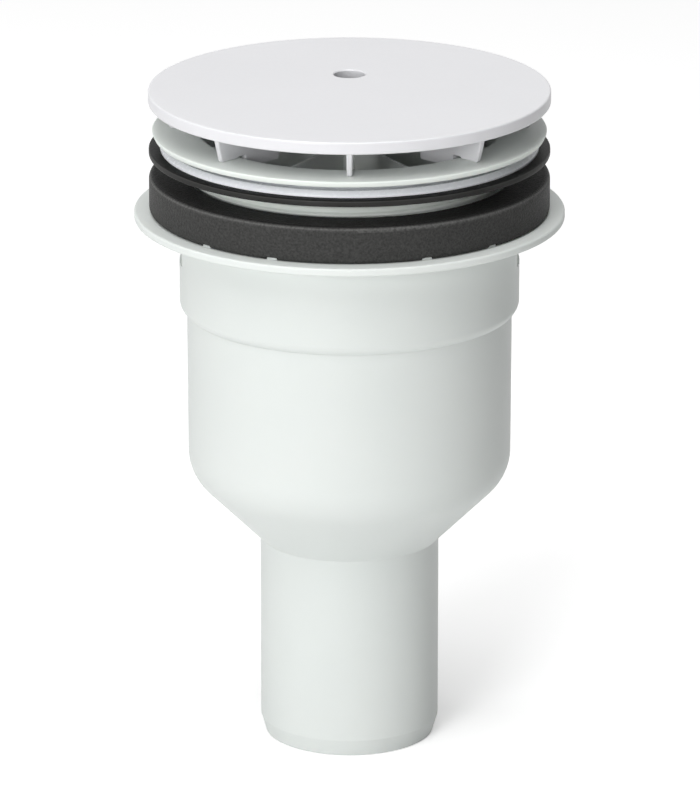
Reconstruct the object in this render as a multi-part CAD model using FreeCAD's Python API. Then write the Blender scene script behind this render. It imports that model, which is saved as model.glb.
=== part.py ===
import FreeCAD, Part
import math
import os

from FreeCAD import Vector

# Shower waste for a 90 mm tray hole with a vertical 50 mm outlet, in millimetres.
# The axis is Z and the outlet pipe ends at Z = 0. Bearings are measured in degrees
# from -Y, the front, and grow towards +X.

# Outlet pipe and cone
PIPE_RADIUS = 25.0
PIPE_WALL = 2.3
PIPE_LENGTH = 57.8
PIPE_LEAD_IN_LENGTH = 4.7
PIPE_LEAD_IN_DEPTH = 1.4
CONE_ANGLE = 45.0
CONE_SHOULDER_ROUNDING = 13.0

# Barrel and threaded collar
BARREL_LENGTH = 42.3
BARREL_DRAFT = 0.15
BODY_WALL = 2.3
COLLAR_LENGTH = 25.95
COLLAR_WALL = 2.9
COLLAR_STEP = 2.15
COLLAR_STEP_LENGTH = 4.6
COLLAR_EDGE_ROUNDING = 0.6

# Body flange under the tray
FLANGE_WIDTH = 12.45
FLANGE_THICKNESS = 2.25
FLANGE_EDGE_ROUNDING = 0.6
FLANGE_ROOT_ROUNDING = 1.0

# Spanner flats on the two sides of the collar, right below the body flange
FLAT_BEARING = 90.0
FLAT_DEPTH = 0.85
FLAT_HEIGHT = 12.4

# Nibs on the flange that key the gasket
NIB_BEARINGS = [22.5, 45.0, 135.0, 157.5]
NIB_WIDTH = 2.8
NIB_HEIGHT = 0.6
NIB_LENGTH = 2.0
NIB_INSET = 0.7
NIB_ROUNDING = 0.2
NIB_CLEARANCE = 0.25

# Rubber seals and the gap for the tray between them
GASKET_CLEARANCE = 1.1
GASKET_WIDTH = 10.4
GASKET_HEIGHT = 10.4
GASKET_SHOULDER_ROUNDING = 1.5
GASKET_FOOT_ROUNDING = 1.3
GASKET_INNER_ROUNDING = 0.8
TRAY_GAP = 5.6
SEAL_WIDTH = 11.15
SEAL_THICKNESS = 1.8
SEAL_ROUNDING = 0.5

# Slip ring between the seal and the clamp flange
SLIP_WIDTH = 8.05
SLIP_HEIGHT = 3.35
SLIP_LIP_HEIGHT = 0.5
SLIP_BEVEL_WIDTH = 1.4
SLIP_BEVEL_HEIGHT = 1.25
SLIP_BEVEL_ROUNDING = 0.3
SLIP_NECK_WIDTH = 2.6

# Clamp flange with its threaded sleeve
THREAD_RADIUS = 43.9
THREAD_CLEARANCE = 0.35
SLEEVE_WALL = 3.1
SLEEVE_LENGTH = 39.7
RIM_WIDTH = 10.7
RIM_THICKNESS = 1.7
RIM_ROUNDING = 0.6
BORE_ENTRY_ROUNDING = 2.0
SEAT_DEPTH = 21.3
SEAT_WIDTH = 2.6
SEAT_THICKNESS = 2.5

# Cover plate with its blades
COVER_OVERHANG = 0.9
COVER_THICKNESS = 3.45
COVER_EDGE_ROUNDING = 0.5
INLET_HEIGHT = 7.8
LIFT_HOLE_RADIUS = 4.4
LIFT_HOLE_OFFSET = 15.5
LIFT_HOLE_ROUNDING = 0.3
BLADE_COUNT = 8
BLADE_ROOT_THICKNESS = 1.8
BLADE_TIP_THICKNESS = 1.4
BLADE_EDGE_ROUNDING = 0.5
BLADE_SPIGOT_LENGTH = 12.8
BLADE_INNER_DRAFT = 0.5
BLADE_COVER_INSET = 4.0
BLADE_TOE_INSET = 5.0
BLADE_TOE_ROUNDING = 1.2
BLADE_TOE_LENGTH = 5.7
BLADE_RELIEF = 0.6
BLADE_SPIGOT_DEPTH = 3.0

# Trap insert: seat ring, funnel, dip tube, ribs and bayonet wings
BORE_CLEARANCE = 0.3
COVER_CLEARANCE = 0.5
INSERT_RING_HEIGHT = 12.0
INSERT_WALL = 1.8
FUNNEL_DROP = 4.0
DIP_TUBE_RADIUS = 20.8
DIP_TUBE_WALL = 1.8
RIB_COUNT = 6
RIB_BEARING = 30.0
RIB_THICKNESS = 0.8
RIB_CORNER_ROUNDING = 3.0
RIB_FOOT_HEIGHT = 4.0
HUB_RADIUS = 4.0
HUB_ROUNDING = 1.0
O_RING_SECTION = 2.4
O_RING_CLEARANCE = 0.05
O_RING_SIDE_CLEARANCE = 0.3
O_RING_GROOVE_RISE = 3.4

# Trap cup, hung from the insert by a bayonet
WATER_SEAL = 50.0
CUP_PASSAGE = 2.7
CUP_WALL = 1.9
CUP_RIM_DROP = 8.0
CUP_FLOOR_GAP = 8.0
CUP_CORNER_ROUNDING = 9.0
CUP_RIM_ROUNDING = 0.6
WING_COUNT = 4
WING_BEARING = 45.0
WING_THICKNESS = 1.8
WING_HOOK_HEIGHT = 4.0
LUG_DROP = 9.0
LUG_HEIGHT = 3.0
LUG_LENGTH = 2.4
LUG_WIDTH = 7.0
LUG_CLEARANCE = 0.3

# Depth by which a fused piece runs into the wall that carries it
ROOT = 0.4
# Small rounding of moulded edges
SOFT_EDGE = 0.4

# Heights and radii that follow from the sizes above
cone_slope = math.tan(math.radians(CONE_ANGLE))
cone_wall_offset = BODY_WALL / math.cos(math.radians(CONE_ANGLE))
pipe_bore = PIPE_RADIUS - PIPE_WALL
collar_bore = THREAD_RADIUS + THREAD_CLEARANCE
collar_radius = collar_bore + COLLAR_WALL
barrel_radius = collar_radius - COLLAR_STEP
shoulder_z = PIPE_LENGTH + (barrel_radius - PIPE_RADIUS) / cone_slope
barrel_top = shoulder_z + BARREL_LENGTH
collar_bottom = barrel_top + COLLAR_STEP_LENGTH
flange_bottom = collar_bottom + COLLAR_LENGTH
flange_top = flange_bottom + FLANGE_THICKNESS
flange_radius = collar_radius + FLANGE_WIDTH

gasket_top = flange_top + GASKET_HEIGHT
seal_bottom = gasket_top + TRAY_GAP
seal_top = seal_bottom + SEAL_THICKNESS
rim_bottom = seal_top + SLIP_HEIGHT
rim_top = rim_bottom + RIM_THICKNESS
cover_bottom = rim_top + INLET_HEIGHT
cover_top = cover_bottom + COVER_THICKNESS

gasket_bore = THREAD_RADIUS + GASKET_CLEARANCE
gasket_radius = gasket_bore + GASKET_WIDTH
nib_outer = gasket_radius - NIB_INSET
nib_inner = nib_outer - NIB_LENGTH
seal_radius = collar_bore + SEAL_WIDTH
slip_radius = collar_bore + SLIP_WIDTH
rim_radius = THREAD_RADIUS + RIM_WIDTH
cover_radius = rim_radius + COVER_OVERHANG

sleeve_bore = THREAD_RADIUS - SLEEVE_WALL
sleeve_bottom = rim_bottom - SLEEVE_LENGTH
seat_top = rim_top - SEAT_DEPTH
seat_bore = sleeve_bore - SEAT_WIDTH

insert_radius = sleeve_bore - BORE_CLEARANCE
insert_top = seat_top + INSERT_RING_HEIGHT
o_ring_outer = sleeve_bore - O_RING_CLEARANCE
o_ring_centre_radius = o_ring_outer - O_RING_SECTION / 2
groove_floor = o_ring_outer - O_RING_SECTION - O_RING_CLEARANCE
groove_bottom = seat_top + O_RING_GROOVE_RISE
groove_top = groove_bottom + O_RING_SECTION + 2 * O_RING_SIDE_CLEARANCE
ring_bore = groove_floor - INSERT_WALL
funnel_outer_z = (groove_bottom + groove_top) / 2
funnel_inner_z = funnel_outer_z - FUNNEL_DROP
dip_tube_bore = DIP_TUBE_RADIUS - DIP_TUBE_WALL
spigot_bottom = rim_top - BLADE_SPIGOT_DEPTH
rib_top = spigot_bottom - COVER_CLEARANCE

cup_rim = seat_top - CUP_RIM_DROP
dip_tube_bottom = cup_rim - WATER_SEAL
cup_floor = dip_tube_bottom - CUP_FLOOR_GAP
cup_bottom = cup_floor - CUP_WALL
cup_radius = seat_bore - CUP_PASSAGE
cup_bore = cup_radius - CUP_WALL
lug_top = cup_rim - LUG_DROP
lug_bottom = lug_top - LUG_HEIGHT
lug_inner_radius = cup_bore - LUG_LENGTH
wing_radius = cup_bore - LUG_CLEARANCE


def outline(corners):
    """Closed wire in the XZ plane through (radius, height, rounding) corners."""
    points = [Vector(x, 0, z) for x, z, rounding in corners]
    count = len(points)
    starts = []
    ends = []
    arcs = []
    for index, corner in enumerate(points):
        rounding = corners[index][2]
        if rounding == 0:
            starts.append(corner)
            ends.append(corner)
            arcs.append(None)
            continue
        to_last = (points[index - 1] - corner).normalize()
        to_next = (points[(index + 1) % count] - corner).normalize()
        half_angle = to_last.getAngle(to_next) / 2
        reach = rounding / math.tan(half_angle)
        inward = (to_last + to_next).normalize()
        middle = corner + inward * (rounding / math.sin(half_angle) - rounding)
        starts.append(corner + to_last * reach)
        ends.append(corner + to_next * reach)
        arcs.append(Part.Arc(starts[-1], middle, ends[-1]).toShape())
    edges = []
    for index in range(count):
        if arcs[index]:
            edges.append(arcs[index])
        following = starts[(index + 1) % count]
        edges.append(Part.makeLine(ends[index], following))
    return Part.Wire(edges)


def turned(corners):
    """Solid of revolution about Z."""
    return Part.Face(outline(corners)).revolve(Vector(0, 0, 0), Vector(0, 0, 1), 360)


def plate(corners, thickness):
    """Flat radial plate in the XZ plane, centred on that plane."""
    face = Part.Face(outline(corners))
    face.translate(Vector(0, -thickness / 2, 0))
    return face.extrude(Vector(0, thickness, 0))


def block(inner, outer, width, low, high):
    """Box that points outwards along X, centred on the XZ plane."""
    return Part.makeBox(outer - inner, width, high - low, Vector(inner, -width / 2, low))


def placed(shape, bearing):
    """Copy of a shape that points along X, swung to a bearing."""
    copy = shape.copy()
    copy.rotate(Vector(0, 0, 0), Vector(0, 0, 1), bearing - 90)
    return copy


def around(shape, count, first=0.0):
    """Copies of a shape spread evenly round the axis."""
    return [placed(shape, first + index * 360 / count) for index in range(count)]


def both_sides(shape, bearings):
    """Copies of a shape at each bearing, left and right of the front."""
    return [placed(shape, side * bearing) for bearing in bearings for side in (-1, 1)]


def make_drain_body():
    barrel_bore = barrel_radius - BODY_WALL
    cone_drop = cone_wall_offset / cone_slope
    throat_z = PIPE_LENGTH + cone_drop - PIPE_WALL / cone_slope
    inner_shoulder_z = shoulder_z + cone_drop - BODY_WALL / cone_slope
    pipe_end_radius = PIPE_RADIUS - PIPE_LEAD_IN_DEPTH
    body = turned([
        (pipe_bore, 0, 0),
        (pipe_end_radius, 0, 0),
        (PIPE_RADIUS, PIPE_LEAD_IN_LENGTH, 0),
        (PIPE_RADIUS, PIPE_LENGTH, SOFT_EDGE),
        (barrel_radius, shoulder_z, CONE_SHOULDER_ROUNDING),
        (barrel_radius + BARREL_DRAFT, barrel_top, 0),
        (collar_radius, collar_bottom, COLLAR_EDGE_ROUNDING),
        (collar_radius, flange_bottom, FLANGE_ROOT_ROUNDING),
        (flange_radius, flange_bottom, FLANGE_EDGE_ROUNDING),
        (flange_radius, flange_top, FLANGE_EDGE_ROUNDING),
        (collar_bore, flange_top, 0),
        (collar_bore, collar_bottom, 0),
        (barrel_bore, barrel_top, 0),
        (barrel_bore, inner_shoulder_z, CONE_SHOULDER_ROUNDING - BODY_WALL),
        (pipe_bore, throat_z, 0),
    ])
    flat = block(
        collar_radius - FLAT_DEPTH,
        collar_radius + FLAT_DEPTH,
        collar_radius,
        flange_bottom - FLAT_HEIGHT,
        flange_bottom,
    )
    nib = block(nib_outer - NIB_LENGTH, nib_outer, NIB_WIDTH, flange_top - ROOT, flange_top + NIB_HEIGHT)
    upper_edges = [edge for edge in nib.Edges if edge.BoundBox.ZMin > flange_top]
    nib = nib.makeFillet(NIB_ROUNDING, upper_edges)
    body = body.cut(both_sides(flat, [FLAT_BEARING]))
    return body.fuse(both_sides(nib, NIB_BEARINGS))


def make_lower_gasket():
    gasket = turned([
        (gasket_bore, flange_top, 0),
        (gasket_radius, flange_top, GASKET_FOOT_ROUNDING),
        (gasket_radius, gasket_top, GASKET_SHOULDER_ROUNDING),
        (gasket_bore, gasket_top, GASKET_INNER_ROUNDING),
    ])
    notch = block(
        nib_inner - NIB_CLEARANCE,
        flange_radius,
        NIB_WIDTH + 2 * NIB_CLEARANCE,
        flange_top - ROOT,
        flange_top + NIB_HEIGHT + NIB_CLEARANCE,
    )
    return gasket.cut(both_sides(notch, NIB_BEARINGS))


def make_upper_seal():
    return turned([
        (collar_bore, seal_bottom, 0),
        (seal_radius, seal_bottom, SEAL_ROUNDING),
        (seal_radius, seal_top, SEAL_ROUNDING),
        (collar_bore, seal_top, 0),
    ])


def make_slip_ring():
    lip_top = seal_top + SLIP_LIP_HEIGHT
    bevel_top = lip_top + SLIP_BEVEL_HEIGHT
    neck_radius = collar_bore + SLIP_NECK_WIDTH
    return turned([
        (collar_bore, seal_top, 0),
        (slip_radius, seal_top, 0),
        (slip_radius, lip_top, SOFT_EDGE),
        (slip_radius - SLIP_BEVEL_WIDTH, bevel_top, SLIP_BEVEL_ROUNDING),
        (neck_radius, bevel_top, SOFT_EDGE),
        (neck_radius, rim_bottom, 0),
        (collar_bore, rim_bottom, 0),
    ])


def make_clamp_flange():
    seat_bottom = seat_top - SEAT_THICKNESS
    return turned([
        (sleeve_bore, sleeve_bottom, 0),
        (THREAD_RADIUS, sleeve_bottom, SOFT_EDGE),
        (THREAD_RADIUS, rim_bottom, 0),
        (rim_radius, rim_bottom, RIM_ROUNDING),
        (rim_radius, rim_top, RIM_ROUNDING),
        (sleeve_bore, rim_top, BORE_ENTRY_ROUNDING),
        (sleeve_bore, seat_top, 0),
        (seat_bore, seat_top, 0),
        (seat_bore, seat_bottom, 0),
        (sleeve_bore, seat_bottom - SEAT_WIDTH, 0),
    ])


def make_blade():
    spigot_radius = sleeve_bore - BORE_CLEARANCE
    inner_radius = spigot_radius - BLADE_SPIGOT_LENGTH
    outer_radius = cover_radius - BLADE_COVER_INSET
    toe_radius = rim_radius - BLADE_TOE_INSET
    toe_inner = toe_radius - BLADE_TOE_LENGTH
    root_z = cover_bottom + ROOT
    blade = plate([
        (inner_radius, root_z, 0),
        (inner_radius + BLADE_INNER_DRAFT, spigot_bottom, SOFT_EDGE),
        (spigot_radius, spigot_bottom, SOFT_EDGE),
        (spigot_radius, rim_top + BLADE_RELIEF, SOFT_EDGE),
        (toe_inner - BLADE_RELIEF, rim_top + BLADE_RELIEF, 0),
        (toe_inner, rim_top, 0),
        (toe_radius, rim_top, BLADE_TOE_ROUNDING),
        (outer_radius, cover_bottom, 0),
        (outer_radius, root_z, 0),
    ], BLADE_ROOT_THICKNESS)
    drafted = Part.Face(Part.makePolygon([
        Vector(0, -BLADE_ROOT_THICKNESS / 2, root_z),
        Vector(0, -BLADE_TIP_THICKNESS / 2, spigot_bottom),
        Vector(0, BLADE_TIP_THICKNESS / 2, spigot_bottom),
        Vector(0, BLADE_ROOT_THICKNESS / 2, root_z),
        Vector(0, -BLADE_ROOT_THICKNESS / 2, root_z),
    ]))
    blade = blade.common(drafted.extrude(Vector(cover_radius, 0, 0)))
    outer_edges = [
        edge for edge in blade.Edges
        if edge.BoundBox.YLength < BLADE_TIP_THICKNESS / 2
        and edge.BoundBox.XMin > toe_radius - BLADE_TOE_ROUNDING * 2
        and edge.BoundBox.ZMax < cover_bottom + ROOT / 2
        and edge.BoundBox.ZLength > ROOT
    ]
    return blade.makeFillet(BLADE_EDGE_ROUNDING, outer_edges)


def make_cover_plate():
    disc = turned([
        (0, cover_bottom, 0),
        (cover_radius, cover_bottom, COVER_EDGE_ROUNDING),
        (cover_radius, cover_top, COVER_EDGE_ROUNDING),
        (0, cover_top, 0),
    ])
    hole = turned([
        (0, cover_bottom - ROOT, 0),
        (LIFT_HOLE_RADIUS, cover_bottom - ROOT, 0),
        (LIFT_HOLE_RADIUS, cover_top - LIFT_HOLE_ROUNDING, 0),
        (LIFT_HOLE_RADIUS + LIFT_HOLE_ROUNDING + ROOT, cover_top + ROOT, 0),
        (0, cover_top + ROOT, 0),
    ])
    hole.translate(Vector(0, LIFT_HOLE_OFFSET, 0))
    return disc.fuse(around(make_blade(), BLADE_COUNT)).cut(hole)


def make_trap_insert():
    underside_outer_z = funnel_outer_z - INSERT_WALL
    underside_inner_z = funnel_inner_z - INSERT_WALL
    shell = turned([
        (dip_tube_bore, dip_tube_bottom, 0),
        (DIP_TUBE_RADIUS, dip_tube_bottom, 0),
        (DIP_TUBE_RADIUS, underside_inner_z, INSERT_WALL),
        (ring_bore, underside_outer_z, 0),
        (ring_bore, seat_top, 0),
        (insert_radius, seat_top, 0),
        (insert_radius, groove_bottom, 0),
        (groove_floor, groove_bottom, 0),
        (groove_floor, groove_top, 0),
        (insert_radius, groove_top, 0),
        (insert_radius, insert_top, SOFT_EDGE),
        (ring_bore, insert_top, SOFT_EDGE),
        (ring_bore, funnel_outer_z, INSERT_WALL),
        (dip_tube_bore, funnel_inner_z, INSERT_WALL),
    ])
    rib_outer = ring_bore + ROOT
    rib_foot = funnel_outer_z - INSERT_WALL / 2
    rib = plate([
        (0, rib_foot, 0),
        (rib_outer, rib_foot, 0),
        (rib_outer, insert_top - RIB_FOOT_HEIGHT, 0),
        (ring_bore - ROOT, rib_top, RIB_CORNER_ROUNDING),
        (0, rib_top, 0),
    ], RIB_THICKNESS)
    hub = turned([
        (0, rib_foot, 0),
        (HUB_RADIUS, rib_foot, 0),
        (HUB_RADIUS, rib_top, HUB_ROUNDING),
        (0, rib_top, 0),
    ])
    wing_root = DIP_TUBE_RADIUS - ROOT
    notch_inner = lug_inner_radius - LUG_CLEARANCE
    hook_bottom = lug_bottom - WING_HOOK_HEIGHT
    wing = plate([
        (wing_root, hook_bottom - (wing_radius - wing_root), 0),
        (wing_radius, hook_bottom, 0),
        (wing_radius, lug_bottom, 0),
        (notch_inner, lug_bottom, 0),
        (notch_inner, lug_top + LUG_CLEARANCE, 0),
        (wing_radius, lug_top + LUG_CLEARANCE, 0),
        (wing_radius, cup_rim, SOFT_EDGE),
        (wing_root, underside_inner_z, 0),
    ], WING_THICKNESS)
    added = around(rib, RIB_COUNT, RIB_BEARING)
    added += around(wing, WING_COUNT, WING_BEARING)
    added.append(hub)
    return shell.fuse(added)


def make_insert_o_ring():
    centre = Vector(0, 0, (groove_bottom + groove_top) / 2)
    return Part.makeTorus(o_ring_centre_radius, O_RING_SECTION / 2, centre, Vector(0, 0, 1))


def make_trap_cup():
    cup = turned([
        (0, cup_bottom, 0),
        (cup_radius, cup_bottom, CUP_CORNER_ROUNDING),
        (cup_radius, cup_rim, CUP_RIM_ROUNDING),
        (cup_bore, cup_rim, CUP_RIM_ROUNDING),
        (cup_bore, cup_floor, CUP_CORNER_ROUNDING - CUP_WALL),
        (0, cup_floor, 0),
    ])
    lug = block(lug_inner_radius, cup_bore + CUP_WALL / 2, LUG_WIDTH, lug_bottom, lug_top)
    return cup.fuse(around(lug, WING_COUNT, WING_BEARING))


PIECES = {
    "drain_body": make_drain_body,
    "lower_gasket": make_lower_gasket,
    "upper_seal": make_upper_seal,
    "slip_ring": make_slip_ring,
    "clamp_flange": make_clamp_flange,
    "cover_plate": make_cover_plate,
    "trap_insert": make_trap_insert,
    "insert_o_ring": make_insert_o_ring,
    "trap_cup": make_trap_cup,
}

os.makedirs("parts", exist_ok=True)
for node, make in PIECES.items():
    shape = make().removeSplitter()
    shape.exportStep(f"parts/{node}.step")
    box = shape.BoundBox
    print(f"{node}: solids {len(shape.Solids)}, valid {shape.isValid()},"
          f" volume {shape.Volume / 1000:.2f} cm3, z {box.ZMin:.2f} to {box.ZMax:.2f}")
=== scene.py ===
import math

import bmesh
import bpy
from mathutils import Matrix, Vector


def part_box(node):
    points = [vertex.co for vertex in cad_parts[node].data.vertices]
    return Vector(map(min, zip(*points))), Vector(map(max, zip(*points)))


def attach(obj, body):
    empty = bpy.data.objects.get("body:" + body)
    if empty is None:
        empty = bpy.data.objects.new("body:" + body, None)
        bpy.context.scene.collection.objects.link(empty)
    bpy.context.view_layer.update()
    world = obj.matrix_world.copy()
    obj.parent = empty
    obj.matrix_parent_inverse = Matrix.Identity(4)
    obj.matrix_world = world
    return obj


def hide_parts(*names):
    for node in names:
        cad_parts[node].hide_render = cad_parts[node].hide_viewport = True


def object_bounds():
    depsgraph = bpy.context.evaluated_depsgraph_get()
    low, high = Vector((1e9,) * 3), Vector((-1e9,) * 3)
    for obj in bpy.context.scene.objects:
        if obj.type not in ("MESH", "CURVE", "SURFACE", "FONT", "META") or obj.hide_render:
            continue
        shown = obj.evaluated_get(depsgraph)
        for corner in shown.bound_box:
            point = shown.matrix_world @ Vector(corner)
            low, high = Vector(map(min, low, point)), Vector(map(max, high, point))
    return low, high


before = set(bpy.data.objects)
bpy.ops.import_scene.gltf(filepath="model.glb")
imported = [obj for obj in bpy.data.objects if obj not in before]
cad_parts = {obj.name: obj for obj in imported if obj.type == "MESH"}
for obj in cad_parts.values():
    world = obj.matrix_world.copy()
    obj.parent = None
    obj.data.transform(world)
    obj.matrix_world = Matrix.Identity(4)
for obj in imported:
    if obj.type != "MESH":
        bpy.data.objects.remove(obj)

CAD_LOW, CAD_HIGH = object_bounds()
MM = 0.001
WHITE = (1, 1, 1, 1)
scene = bpy.context.scene
scene.view_settings.view_transform = "Standard"

# Camera, at the photograph's viewing angle (metres and radians)
PHOTO_HEIGHT = 800
CAMERA_SIDE = 0.00014
CAMERA_DISTANCE = 1.8
CAMERA_HEIGHT = 0.67573
CAMERA_PITCH = 0.31110
CLIP_START = 0.05
CLIP_END = 50.0
FOCAL_PIXELS = 6772.5
SENSOR_MM = 36.0

# Studio (metres)
LIGHT_DISTANCE = 1.85
LIGHT_AIM = 0.12
FLOOR_HALF = 6.0
FLOOR_DROP = 0.0002
FLOOR_COLOUR = (0.88, 0.88, 0.88, 1)
FLOOR_ROUGHNESS = 0.9
FLOOR_GLOW = 0.42
AMBIENT_STRENGTH = 0.10
BACKDROP_STRENGTH = 1.0

# Name, azimuth and elevation in degrees, side in metres and power in watts
LIGHTS = (
    ("key", -24, 12, 0.6, 15.8),
    ("left", -102, 26, 0.5, 3.2),
    ("front_top", -20, 50, 1.0, 12.5),
    ("top", 0, 88, 1.2, 19.5),
)

# Noise in the finishes: the range of it that is used, and its detail in colour and roughness
NOISE_LOW = 0.3
NOISE_HIGH = 0.7
PATCH_DETAIL = 3.0
FINE_DETAIL = 4.0

# Meshes: tolerances in metres, and the least angle of a sharp edge
MERGE_DISTANCE = 1e-6
LEVEL_TOLERANCE = 1e-7
SHARP_ANGLE = math.radians(35)

# Turned forms: the steps of each rounding, and a small rounding in millimetres, like all sizes below
ROUNDING_STEPS = 6
SOFT_EDGE = 0.4

# Clamp flange: the CAD node's section with a tapered rim, and the thread that the CAD leaves plain
FLANGE_SEGMENTS = 192
RIM_RADIUS = 54.6
RIM_THICKNESS = 1.7
RIM_ROUNDING = 0.3
RIM_TAPER = 0.8
THREAD_CREST = 43.9
THREAD_ROOT = 43.1
THREAD_PITCH = 2.5
THREAD_PHASE = 0.358
THREAD_SPARE_TURNS = 2
SLEEVE_BORE = 40.8
BORE_ENTRY_ROUNDING = 2.0
SEAT_DEPTH = 21.3
SEAT_WIDTH = 2.6
SEAT_THICKNESS = 2.5

# Share of the pitch and share of the depth at the corners of the thread's tooth
THREAD_TOOTH = (
    (0.00, 0.94), (0.03, 1.0), (0.29, 1.0), (0.32, 0.94),
    (0.43, 0.08), (0.46, 0.0), (0.86, 0.0), (0.89, 0.08),
)

# Drain body: where the CAD node steps in below its collar, and the rounded edge that the
# photograph shows there
CAD_STEP_BOTTOM = 120.1
CAD_STEP_TOP = 124.7
EDGE_BOTTOM = 124.1
EDGE_TOP = 127.1
EDGE_ROWS = 8
EDGE_SLACK = 0.05
EDGE_REACH = 0.2
BARREL_TOP_RADIUS = 45.15
COLLAR_RADIUS = 47.15

# Upper seal and slip ring: the CAD nodes' sections, with a channel in the slip ring's top
RING_SEGMENTS = 384
RING_BORE = 44.25
SEAL_ROUNDING = 0.5
SLIP_LIP_HEIGHT = 0.5
SLIP_BEVEL_WIDTH = 1.4
SLIP_BEVEL_HEIGHT = 1.15
SLIP_CREST_WIDTH = 0.3
SLIP_NECK_WIDTH = 0.9
SLIP_FLOOR = 0.2


def add_node(tree, kind, inputs=None, **settings):
    """New shader node with its settings and its input values."""
    node = tree.nodes.new(kind)
    for key, value in settings.items():
        setattr(node, key, value)
    for key, value in (inputs or {}).items():
        node.inputs[key].default_value = value
    return node


def noise(tree, position, scale, detail):
    """Noise over the piece's own coordinates, in features per metre."""
    texture = add_node(tree, "ShaderNodeTexNoise", {"Scale": scale, "Detail": detail})
    tree.links.new(position, texture.inputs["Vector"])
    return texture.outputs["Fac"]


def mapped(tree, value, low, high):
    """A noise value spread from low to high."""
    limits = {"From Min": NOISE_LOW, "From Max": NOISE_HIGH, "To Min": low, "To Max": high}
    spread = add_node(tree, "ShaderNodeMapRange", limits)
    tree.links.new(value, spread.inputs["Value"])
    return spread.outputs["Result"]


def painted_light_by_facing(tree, normal, stops):
    """Painted light and shade: a grey level by how far a face looks up, through (upward share,
    level) stops.

    The first two stops are the ramp's ends."""
    apart = add_node(tree, "ShaderNodeSeparateXYZ")
    ramp = add_node(tree, "ShaderNodeValToRGB")
    ends = list(ramp.color_ramp.elements)
    for index, (share, level) in enumerate(stops):
        if index < len(ends):
            stop = ends[index]
            stop.position = share
        else:
            stop = ramp.color_ramp.elements.new(share)
        stop.color = (level, level, level, 1)
    tree.links.new(normal, apart.inputs["Vector"])
    tree.links.new(apart.outputs["Z"], ramp.inputs["Fac"])
    return ramp.outputs["Color"]


def finish_material(name, colours, patch_scale, roughness, fine_scale, bumps, constants,
                    painted_light_stops=None):
    """Principled material with colour in soft patches, a finer noise in its roughness and bumps.

    Each bump is (noise scale, detail, distance, strength). Stops of painted light put a painted
    highlight on a rubber ring's upper edge, paler than its sides, and painted shade on its top, the
    darkest."""
    material = bpy.data.materials.new(name)
    material.use_nodes = True
    tree = material.node_tree
    shader = tree.nodes["Principled BSDF"]
    for key, value in constants.items():
        shader.inputs[key].default_value = value
    coordinates = add_node(tree, "ShaderNodeTexCoord")
    position = coordinates.outputs["Object"]

    patches = mapped(tree, noise(tree, position, patch_scale, PATCH_DETAIL), 0.0, 1.0)
    blend = add_node(tree, "ShaderNodeMix", data_type="RGBA")
    blend.inputs["A"].default_value = (*colours[0], 1)
    blend.inputs["B"].default_value = (*colours[1], 1)
    tree.links.new(patches, blend.inputs["Factor"])
    colour = blend.outputs["Result"]
    # Painted light: a highlight on upper edges and shade on tops, by how far each face looks up
    if painted_light_stops:
        shaded = add_node(tree, "ShaderNodeMix", {"Factor": 1.0},
                          data_type="RGBA", blend_type="MULTIPLY")
        shade = painted_light_by_facing(tree, coordinates.outputs["Normal"], painted_light_stops)
        tree.links.new(colour, shaded.inputs["A"])
        tree.links.new(shade, shaded.inputs["B"])
        colour = shaded.outputs["Result"]
    tree.links.new(colour, shader.inputs["Base Color"])

    fine = noise(tree, position, fine_scale, FINE_DETAIL)
    tree.links.new(mapped(tree, fine, *roughness), shader.inputs["Roughness"])

    last = None
    for scale, detail, distance, strength in bumps:
        bump = add_node(tree, "ShaderNodeBump", {"Strength": strength, "Distance": distance})
        tree.links.new(noise(tree, position, scale, detail), bump.inputs["Height"])
        if last:
            tree.links.new(last, bump.inputs["Normal"])
        last = bump.outputs["Normal"]
    tree.links.new(last, shader.inputs["Normal"])
    return material


body_plastic = finish_material(
    "moulded_body_plastic",
    colours=((0.695, 0.73, 0.71), (0.72, 0.75, 0.73)), patch_scale=22.0,
    roughness=(0.44, 0.52), fine_scale=700.0,
    bumps=[(60.0, 2.0, 0.0004, 0.04), (2600.0, 2.0, 0.00005, 0.12)],
    constants={"Specular IOR Level": 0.3, "Subsurface Weight": 0.15, "Subsurface Scale": 0.003,
               "Subsurface Radius": (1.0, 1.0, 0.9)})
# Lighter than the body plastic: partly the flange's own colour, partly painted light that lifts its
# shaded ring top and sleeve
flange_plastic = finish_material(
    "moulded_flange_plastic",
    colours=((0.80, 0.845, 0.805), (0.825, 0.865, 0.825)), patch_scale=30.0,
    roughness=(0.40, 0.48), fine_scale=800.0,
    bumps=[(70.0, 2.0, 0.0003, 0.04), (2800.0, 2.0, 0.00005, 0.12)],
    constants={"Specular IOR Level": 0.3, "Subsurface Weight": 0.06, "Subsurface Scale": 0.0015,
               "Subsurface Radius": (1.0, 1.0, 0.9)})
# Lighter than the body plastic: partly the insert's own colour, partly painted light that lifts it
# in the shade under the cover
insert_plastic = finish_material(
    "moulded_insert_plastic",
    colours=((0.78, 0.815, 0.78), (0.81, 0.84, 0.81)), patch_scale=30.0,
    roughness=(0.40, 0.50), fine_scale=800.0,
    bumps=[(70.0, 2.0, 0.0003, 0.04), (2800.0, 2.0, 0.00005, 0.12)],
    constants={"Specular IOR Level": 0.35, "Subsurface Weight": 0.25, "Subsurface Scale": 0.003,
               "Subsurface Radius": (1.0, 1.0, 0.9)})
cover_plastic = finish_material(
    "smooth_cover_plastic",
    colours=((0.70, 0.70, 0.72), (0.72, 0.72, 0.74)), patch_scale=20.0,
    roughness=(0.30, 0.37), fine_scale=900.0,
    bumps=[(40.0, 2.0, 0.0003, 0.02), (3200.0, 2.0, 0.00004, 0.08)],
    constants={"Subsurface Weight": 0.15, "Subsurface Scale": 0.003,
               "Subsurface Radius": (1.0, 1.0, 1.0)})
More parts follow.
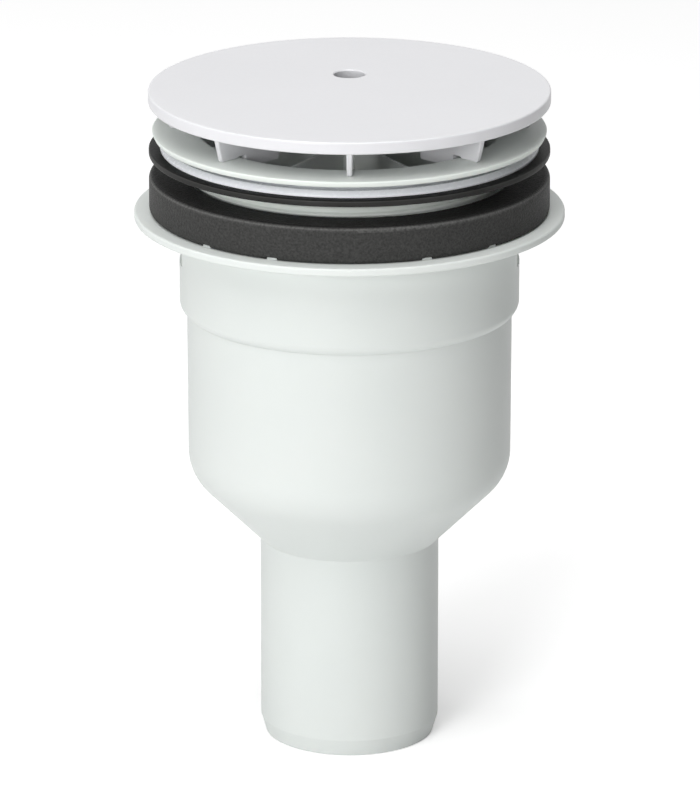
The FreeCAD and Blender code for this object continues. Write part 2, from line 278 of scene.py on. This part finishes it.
slip_plastic = finish_material(
    "glossy_slip_plastic",
    colours=((0.87, 0.885, 0.92), (0.89, 0.905, 0.94)), patch_scale=40.0,
    roughness=(0.22, 0.30), fine_scale=900.0,
    bumps=[(90.0, 2.0, 0.0002, 0.02), (3000.0, 2.0, 0.00002, 0.03)],
    constants={"Specular IOR Level": 0.4})
seal_rubber = finish_material(
    "smooth_seal_rubber",
    colours=((0.036, 0.036, 0.034), (0.050, 0.050, 0.048)), patch_scale=120.0,
    roughness=(0.40, 0.50), fine_scale=1500.0,
    bumps=[(260.0, 2.0, 0.0002, 0.05), (3200.0, 3.0, 0.00005, 0.20)],
    constants={"Specular IOR Level": 0.07},
    # Painted highlight on the seal's upper edge (0.5) and painted shade on its top (0.85 to 1.0)
    painted_light_stops=[(0.0, 0.6), (1.0, 0.04), (0.5, 1.0), (0.85, 0.06)])
gasket_rubber = finish_material(
    "grained_gasket_rubber",
    colours=((0.082, 0.082, 0.080), (0.142, 0.142, 0.138)), patch_scale=1600.0,
    roughness=(0.46, 0.58), fine_scale=2200.0,
    bumps=[(700.0, 2.0, 0.0003, 0.15), (1600.0, 3.0, 0.0004, 0.95)],
    constants={"Specular IOR Level": 0.06},
    # Painted highlight on the gasket's shoulder (0.55) and painted shade on its top (0.9 to 1.0)
    painted_light_stops=[(0.0, 0.42), (1.0, 0.17), (0.3, 0.52), (0.55, 1.0), (0.9, 0.17)])

# The CAD nodes that show as they are
FINISHES = {
    "lower_gasket": gasket_rubber,
    "cover_plate": cover_plastic,
    "trap_insert": insert_plastic,
    "insert_o_ring": seal_rubber,
    "trap_cup": insert_plastic,
}
for node_name, finish in FINISHES.items():
    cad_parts[node_name].material_slots[0].material = finish


def towards(start, end):
    """Unit vector from one section point to another."""
    step = (end[0] - start[0], end[1] - start[1])
    length = math.hypot(*step)
    return step[0] / length, step[1] / length


def rounded(corners):
    """Section through (radius, height, rounding) corners, each rounding as a run of short steps."""
    section = []
    last_index = len(corners) - 1
    for index, (x, z, rounding) in enumerate(corners):
        if rounding == 0 or index in (0, last_index):
            section.append((x, z))
            continue
        before = towards((x, z), corners[index - 1])
        after = towards((x, z), corners[index + 1])
        half = math.acos(before[0] * after[0] + before[1] * after[1]) / 2
        middle = towards((0, 0), (before[0] + after[0], before[1] + after[1]))
        reach = rounding / math.sin(half)
        centre = (x + middle[0] * reach, z + middle[1] * reach)
        along = rounding / math.tan(half)
        start = (x + before[0] * along - centre[0], z + before[1] * along - centre[1])
        end = (x + after[0] * along - centre[0], z + after[1] * along - centre[1])
        sweep = math.atan2(start[0] * end[1] - start[1] * end[0],
                           start[0] * end[0] + start[1] * end[1])
        for step in range(ROUNDING_STEPS + 1):
            turn = sweep * step / ROUNDING_STEPS
            section.append((centre[0] + start[0] * math.cos(turn) - start[1] * math.sin(turn),
                            centre[1] + start[0] * math.sin(turn) + start[1] * math.cos(turn)))
    return section


def place(data, name, finish, body, node):
    """The mesh as a piece that rides on a body in place of a CAD node."""
    data.name = name
    data.materials.clear()
    data.materials.append(finish)
    piece = bpy.data.objects.new(name, data)
    scene.collection.objects.link(piece)
    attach(piece, body)
    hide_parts(node)


def point(radius, angle, height):
    """Point in metres from a radius and a height in millimetres."""
    return radius * math.cos(angle) * MM, radius * math.sin(angle) * MM, height * MM


def spun(mesh, section, segments):
    """Columns of vertices, one for each segment of a full turn of the section."""
    columns = []
    for segment in range(segments):
        angle = 2 * math.pi * segment / segments
        columns.append([mesh.verts.new(point(x, angle, z)) for x, z in section])
    return columns


def join(mesh, first, second):
    """Faces between two neighbouring columns of vertices."""
    for row in range(len(first) - 1):
        mesh.faces.new((first[row], second[row], second[row + 1], first[row + 1]))


def smooth_data(mesh):
    """Mesh data from a bmesh, smooth apart from its sharp edges."""
    bmesh.ops.recalc_face_normals(mesh, faces=mesh.faces)
    data = bpy.data.meshes.new("turned")
    mesh.to_mesh(data)
    mesh.free()
    data.shade_smooth()
    data.set_sharp_from_angle(angle=SHARP_ANGLE)
    return data


def turned(corners):
    """Ring with a closed section through (radius, height, rounding) corners."""
    mesh = bmesh.new()
    columns = spun(mesh, rounded(corners), RING_SEGMENTS)
    for first, second in zip(columns, columns[1:] + columns[:1]):
        join(mesh, first + first[:1], second + second[:1])
    return smooth_data(mesh)


def make_seal():
    """The upper seal, with more segments than the CAD node's mesh."""
    low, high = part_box("upper_seal")
    bottom, top, outer = low.z / MM, high.z / MM, high.x / MM
    seal = turned([
        (RING_BORE, bottom, 0),
        (outer, bottom, SEAL_ROUNDING),
        (outer, top, SEAL_ROUNDING),
        (RING_BORE, top, 0),
    ])
    place(seal, "upper_seal_turned", seal_rubber, "seal_pack", "upper_seal")


def make_slip_ring():
    """The slip ring, whose bevelled edge stands in front of a channel."""
    low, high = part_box("slip_ring")
    bottom, top, outer = low.z / MM, high.z / MM, high.x / MM
    lip, floor = bottom + SLIP_LIP_HEIGHT, bottom + SLIP_FLOOR
    crest, crest_radius = lip + SLIP_BEVEL_HEIGHT, outer - SLIP_BEVEL_WIDTH
    neck = RING_BORE + SLIP_NECK_WIDTH
    slip = turned([
        (RING_BORE, bottom, 0),
        (outer, bottom, 0),
        (outer, lip, SOFT_EDGE),
        (crest_radius, crest, SOFT_EDGE / 2),
        (crest_radius - SLIP_CREST_WIDTH, crest, SOFT_EDGE / 4),
        (crest_radius - 2 * SLIP_CREST_WIDTH, floor, 0),
        (neck, floor, 0),
        (neck, top, 0),
        (RING_BORE, top, 0),
    ])
    place(slip, "slip_ring_channelled", slip_plastic, "seal_pack", "slip_ring")


def smooth_step(low, high, value):
    """Share from 0 at low to 1 at high, level at both ends."""
    share = min(max((value - low) / (high - low), 0.0), 1.0)
    return share * share * (3 - 2 * share)


def thread_column(angle_share, lead_in, neck):
    """Points up the thread's outside at a share of a full turn.

    What the spare turns add past either end is pressed flat there."""
    angle = 2 * math.pi * angle_share
    turns = math.ceil((neck - lead_in) / THREAD_PITCH)
    column = []
    for turn in range(-THREAD_SPARE_TURNS, turns + THREAD_SPARE_TURNS):
        for phase, rise in THREAD_TOOTH:
            height = lead_in + (turn + phase + angle_share + THREAD_PHASE) * THREAD_PITCH
            height = min(max(height, lead_in), neck)
            rise *= smooth_step(lead_in, lead_in + THREAD_PITCH, height)
            rise *= 1 - smooth_step(neck - THREAD_PITCH / 2, neck, height)
            radius = THREAD_ROOT + (THREAD_CREST - THREAD_ROOT) * rise
            column.append(point(radius, angle, height))
    return column


def make_threaded_flange():
    """The clamp flange as one mesh: its turned section, closed on the outside by the thread."""
    low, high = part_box("clamp_flange")
    bottom, rim_top = low.z / MM, high.z / MM
    rim_bottom = rim_top - RIM_THICKNESS
    seat_top = rim_top - SEAT_DEPTH
    seat_bottom = seat_top - SEAT_THICKNESS
    seat_bore = SLEEVE_BORE - SEAT_WIDTH
    neck = rim_bottom - SOFT_EDGE
    lead_in = bottom + 2 * SOFT_EDGE
    section = rounded([
        (THREAD_ROOT, neck, 0),
        (THREAD_ROOT, rim_bottom, SOFT_EDGE / 2),
        (RIM_RADIUS - RIM_TAPER, rim_bottom, SOFT_EDGE),
        (RIM_RADIUS, rim_top, RIM_ROUNDING),
        (SLEEVE_BORE, rim_top, BORE_ENTRY_ROUNDING),
        (SLEEVE_BORE, seat_top, 0),
        (seat_bore, seat_top, 0),
        (seat_bore, seat_bottom, 0),
        (SLEEVE_BORE, seat_bottom - SEAT_WIDTH, 0),
        (SLEEVE_BORE, bottom, 0),
        (THREAD_ROOT - SOFT_EDGE, bottom, SOFT_EDGE),
        (THREAD_ROOT, lead_in, 0),
    ])

    mesh = bmesh.new()
    outside = []
    for segment in range(FLANGE_SEGMENTS + 1):
        column = thread_column(segment / FLANGE_SEGMENTS, lead_in, neck)
        outside.append([mesh.verts.new(position) for position in column])
    for first, second in zip(outside, outside[1:]):
        join(mesh, first, second)
    inside = spun(mesh, section, FLANGE_SEGMENTS)
    for first, second in zip(inside, inside[1:] + inside[:1]):
        join(mesh, first, second)
    bmesh.ops.remove_doubles(mesh, verts=mesh.verts, dist=MERGE_DISTANCE)
    bmesh.ops.dissolve_degenerate(mesh, edges=mesh.edges, dist=MERGE_DISTANCE)
    place(smooth_data(mesh), "clamp_flange_threaded", flange_plastic, "clamp", "clamp_flange")


def reshaped(node_name, reshape):
    """Copy of a CAD node's mesh and shading normals, changed by reshape(mesh, normal_layer)."""
    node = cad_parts[node_name]
    data = node.data.copy()
    data.transform(node.matrix_world)
    normals = [0.0] * (3 * len(data.loops))
    data.corner_normals.foreach_get("vector", normals)
    kept = data.attributes.new("kept_normal", "FLOAT_VECTOR", "CORNER")
    kept.data.foreach_set("vector", normals)
    mesh = bmesh.new()
    mesh.from_mesh(data)
    bmesh.ops.remove_doubles(mesh, verts=mesh.verts, dist=MERGE_DISTANCE)
    reshape(mesh, mesh.loops.layers.float_vector["kept_normal"])
    mesh.to_mesh(data)
    mesh.free()
    normals = [tuple(item.vector) for item in data.attributes["kept_normal"].data]
    data.attributes.remove(data.attributes["kept_normal"])
    data.normals_split_custom_set(normals)
    return data


def in_edge(face):
    """Whether a face lies on the outside of the collar's lower edge."""
    for vert in face.verts:
        level, radius = vert.co.z / MM, math.hypot(vert.co.x, vert.co.y) / MM
        if not EDGE_BOTTOM - EDGE_SLACK < level < EDGE_TOP + EDGE_REACH:
            return False
        if radius <= BARREL_TOP_RADIUS - EDGE_REACH:
            return False
    return True


def round_collar(mesh, normal_layer):
    """Rounds the collar's lower edge down to a crisp line on the barrel."""
    depth, height = COLLAR_RADIUS - BARREL_TOP_RADIUS, EDGE_TOP - EDGE_BOTTOM
    rounding = (depth ** 2 + height ** 2) / (2 * depth)
    cad_height = CAD_STEP_TOP - CAD_STEP_BOTTOM
    for vert in mesh.verts:
        above = vert.co.z / MM - CAD_STEP_BOTTOM
        if -EDGE_SLACK < above < cad_height + EDGE_REACH:
            vert.co.z = (EDGE_BOTTOM + above * height / cad_height) * MM

    for row in range(1, EDGE_ROWS):
        level = EDGE_BOTTOM + height * row / EDGE_ROWS
        faces = [face for face in mesh.faces if in_edge(face)]
        parts = {part for face in faces for part in (face, *face.edges, *face.verts)}
        bmesh.ops.bisect_plane(mesh, geom=list(parts), dist=LEVEL_TOLERANCE,
                               plane_co=(0, 0, level * MM), plane_no=(0, 0, 1))

    for face in mesh.faces:
        if not in_edge(face):
            continue
        for loop in face.loops:
            vert = loop.vert
            drop = max(EDGE_TOP - vert.co.z / MM, 0.0)
            out = math.sqrt(rounding ** 2 - drop ** 2)
            length = math.hypot(vert.co.x, vert.co.y)
            along_x, along_y = vert.co.x / length, vert.co.y / length
            radius = (COLLAR_RADIUS - rounding + out) * MM
            vert.co.x, vert.co.y = radius * along_x, radius * along_y
            outward, downward = out / rounding, -drop / rounding
            loop[normal_layer] = (along_x * outward, along_y * outward, downward)


def make_body():
    """The drain body with its collar's rounded lower edge."""
    place(reshaped("drain_body", round_collar), "drain_body_rounded", body_plastic, "housing",
          "drain_body")


make_seal()
make_slip_ring()
make_threaded_flange()
make_body()


def seen_directly(tree, strength):
    """The strength for camera, glossy and transmission rays, and none for light on the object."""
    path = add_node(tree, "ShaderNodeLightPath")
    first = add_node(tree, "ShaderNodeMath", operation="MAXIMUM")
    second = add_node(tree, "ShaderNodeMath", operation="MAXIMUM")
    scaled = add_node(tree, "ShaderNodeMath", {1: strength}, operation="MULTIPLY")
    tree.links.new(path.outputs["Is Camera Ray"], first.inputs[0])
    tree.links.new(path.outputs["Is Glossy Ray"], first.inputs[1])
    tree.links.new(first.outputs[0], second.inputs[0])
    tree.links.new(path.outputs["Is Transmission Ray"], second.inputs[1])
    tree.links.new(second.outputs[0], scaled.inputs[0])
    return scaled.outputs[0]


def make_floor():
    """Wide pale floor that shows as white where the object casts no shadow."""
    level = CAD_LOW.z - FLOOR_DROP
    signs = ((-1, -1), (1, -1), (1, 1), (-1, 1))
    corners = [(x * FLOOR_HALF, y * FLOOR_HALF, level) for x, y in signs]
    data = bpy.data.meshes.new("floor")
    data.from_pydata(corners, [], [(0, 1, 2, 3)])
    floor = bpy.data.objects.new("floor", data)
    scene.collection.objects.link(floor)
    material = bpy.data.materials.new("pale_floor")
    material.use_nodes = True
    tree = material.node_tree
    shader = tree.nodes["Principled BSDF"]
    shader.inputs["Base Color"].default_value = FLOOR_COLOUR
    shader.inputs["Roughness"].default_value = FLOOR_ROUGHNESS
    shader.inputs["Specular IOR Level"].default_value = 0.0
    shader.inputs["Emission Color"].default_value = WHITE
    tree.links.new(seen_directly(tree, FLOOR_GLOW), shader.inputs["Emission Strength"])
    data.materials.append(material)


def make_world():
    """White surroundings where they are seen, and a little light from all sides on the object."""
    world = bpy.data.worlds.new("studio")
    scene.world = world
    world.use_nodes = True
    tree = world.node_tree
    backdrop = tree.nodes["Background"]
    strengths = {"A": AMBIENT_STRENGTH, "B": BACKDROP_STRENGTH}
    choice = add_node(tree, "ShaderNodeMix", strengths, data_type="FLOAT")
    tree.links.new(seen_directly(tree, 1.0), choice.inputs["Factor"])
    tree.links.new(choice.outputs["Result"], backdrop.inputs["Strength"])
    backdrop.inputs["Color"].default_value = WHITE


def add_light(name, azimuth, elevation, size, power):
    """Square soft light, aimed at the object from an azimuth and an elevation in degrees."""
    data = bpy.data.lights.new(name, "AREA")
    data.size = size
    data.energy = power
    light = bpy.data.objects.new(name, data)
    turn, rise = math.radians(azimuth), math.radians(elevation)
    level = LIGHT_DISTANCE * math.cos(rise)
    height = LIGHT_AIM + LIGHT_DISTANCE * math.sin(rise)
    light.location = (level * math.sin(turn), -level * math.cos(turn), height)
    light.rotation_euler = (math.pi / 2 - rise, 0, turn)
    scene.collection.objects.link(light)


def make_camera():
    """The camera, level from side to side and tilted down at the object."""
    data = bpy.data.cameras.new("camera")
    data.sensor_width = SENSOR_MM
    data.lens = SENSOR_MM * FOCAL_PIXELS / PHOTO_HEIGHT
    data.clip_start = CLIP_START
    data.clip_end = CLIP_END
    camera = bpy.data.objects.new("camera", data)
    camera.location = (CAMERA_SIDE, -CAMERA_DISTANCE, CAMERA_HEIGHT)
    camera.rotation_euler = (math.pi / 2 - CAMERA_PITCH, 0, 0)
    scene.collection.objects.link(camera)
    scene.camera = camera


make_floor()
make_world()
for light_values in LIGHTS:
    add_light(*light_values)
make_camera()
